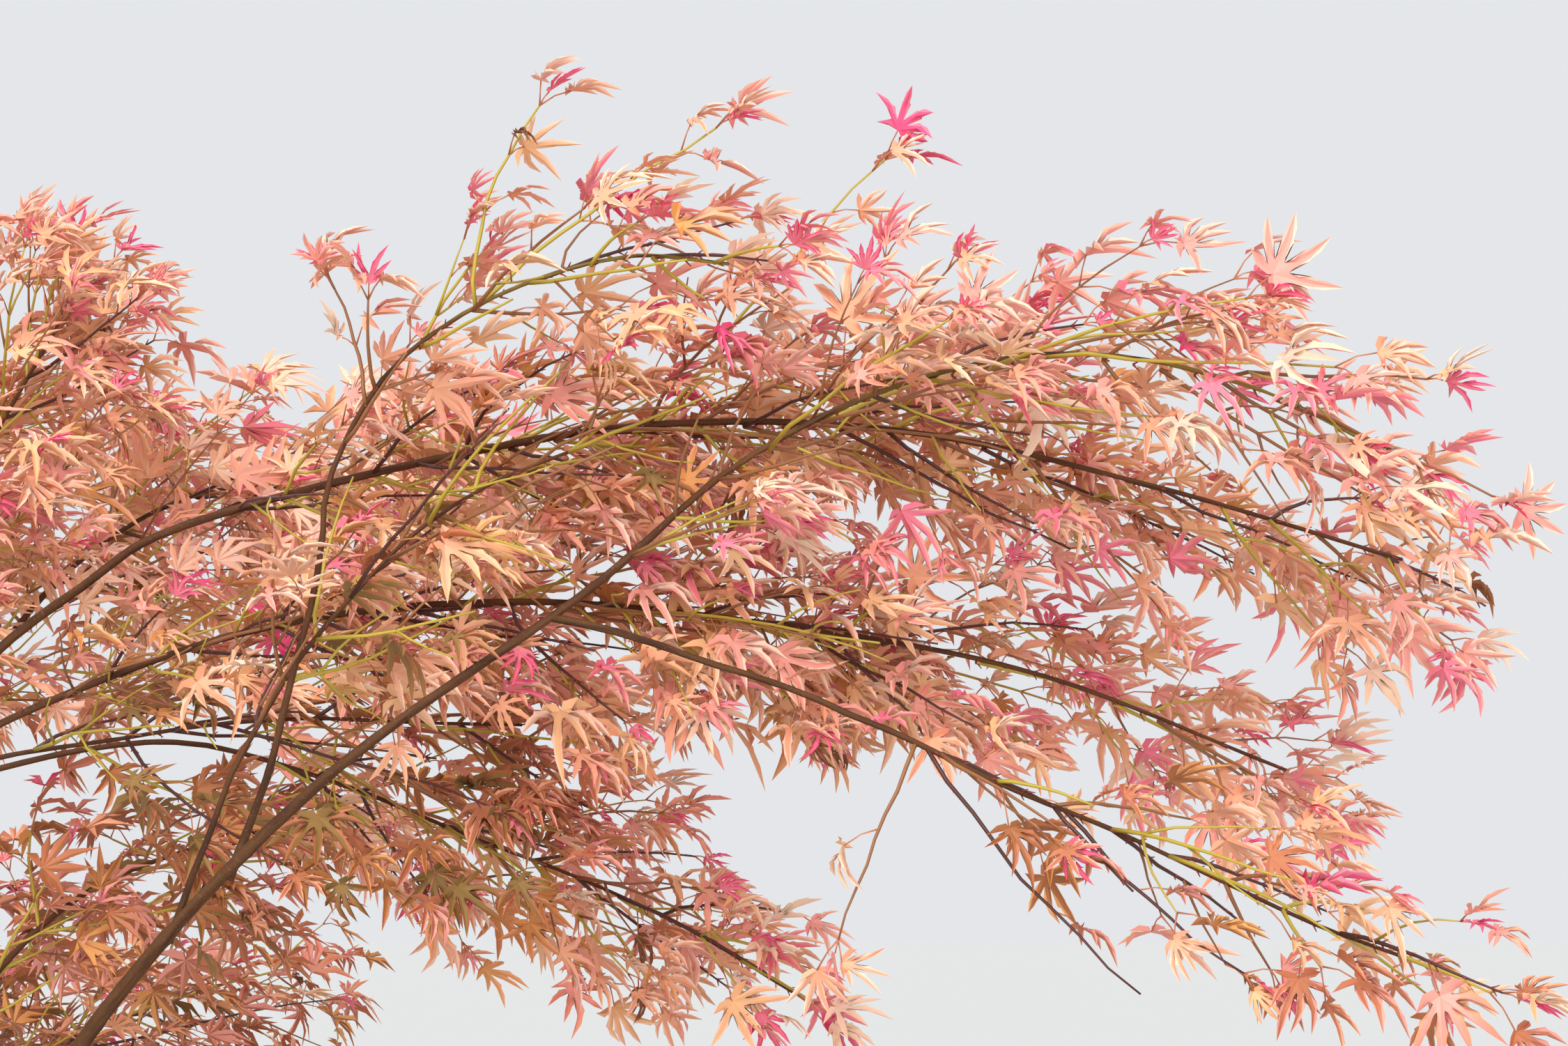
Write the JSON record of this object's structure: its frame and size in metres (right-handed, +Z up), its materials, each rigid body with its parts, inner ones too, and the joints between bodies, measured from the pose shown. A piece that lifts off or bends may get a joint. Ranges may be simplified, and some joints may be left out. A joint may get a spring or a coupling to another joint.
{
  "type": "japanese maple tree",
  "caption": "Small rooted maple with a low forked trunk, arching layered boughs and pink-peach star-shaped spring leaves.",
  "frame": {"origin": "centre of the flat cut under the trunk, at ground level", "axes": "+Z up the tree, +X towards the arching boughs seen on the picture's right, +Y away from the picture's camera"},
  "size_m": [2.7638, 2.5553, 2.1247],
  "materials": {
    "bark": "smooth olive-brown bark, thin and slightly ridged near the foot",
    "pink_leaves": "thin satin leaf, salmon to hot pink",
    "peach_leaves": "thin satin leaf, peach with pale edges",
    "gold_leaves": "thin satin leaf, yellow to olive-gold"
  },
  "bodies": {
    "root": {"trunk": "bark", "front_limb": "bark", "leader": "bark", "back_right_limb": "bark", "back_left_limb": "bark", "front_left_limb": "bark", "upright_bough": "bark", "inner_bough": "bark", "low_bough": "bark", "skirt_right": "bark", "skirt_front": "bark", "arch_limb": "bark", "mid_limb": "bark", "fall_bough": "bark", "heart_bough": "bark", "top_left": "bark", "top_front": "bark", "back_high": "bark", "back_inner": "bark", "back_right_skirt": "bark", "back_skirt": "bark", "left_high": "bark", "back_middle": "bark", "back_left_skirt": "bark", "left_back_skirt": "bark", "left_middle": "bark", "front_middle": "bark", "left_skirt": "bark", "left_front_skirt": "bark", "front_skirt": "bark", "front_limb_foliage": "pink_leaves", "leader_foliage": "pink_leaves", "back_right_limb_foliage": "peach_leaves", "back_left_limb_foliage": "peach_leaves", "front_left_limb_foliage": "gold_leaves", "upright_bough_foliage": "pink_leaves", "inner_bough_foliage": "pink_leaves", "low_bough_foliage": "pink_leaves", "skirt_right_foliage": "pink_leaves", "skirt_front_foliage": "pink_leaves", "arch_limb_foliage": "pink_leaves", "mid_limb_foliage": "pink_leaves", "fall_bough_foliage": "pink_leaves", "heart_bough_foliage": "pink_leaves", "top_left_foliage": "pink_leaves", "top_front_foliage": "pink_leaves", "back_high_foliage": "peach_leaves", "back_inner_foliage": "peach_leaves", "back_right_skirt_foliage": "peach_leaves", "back_skirt_foliage": "peach_leaves", "left_high_foliage": "peach_leaves", "back_middle_foliage": "peach_leaves", "back_left_skirt_foliage": "peach_leaves", "left_back_skirt_foliage": "peach_leaves", "left_middle_foliage": "gold_leaves", "front_middle_foliage": "gold_leaves", "left_skirt_foliage": "gold_leaves", "left_front_skirt_foliage": "gold_leaves", "front_skirt_foliage": "gold_leaves"}
  },
  "joints": []
}
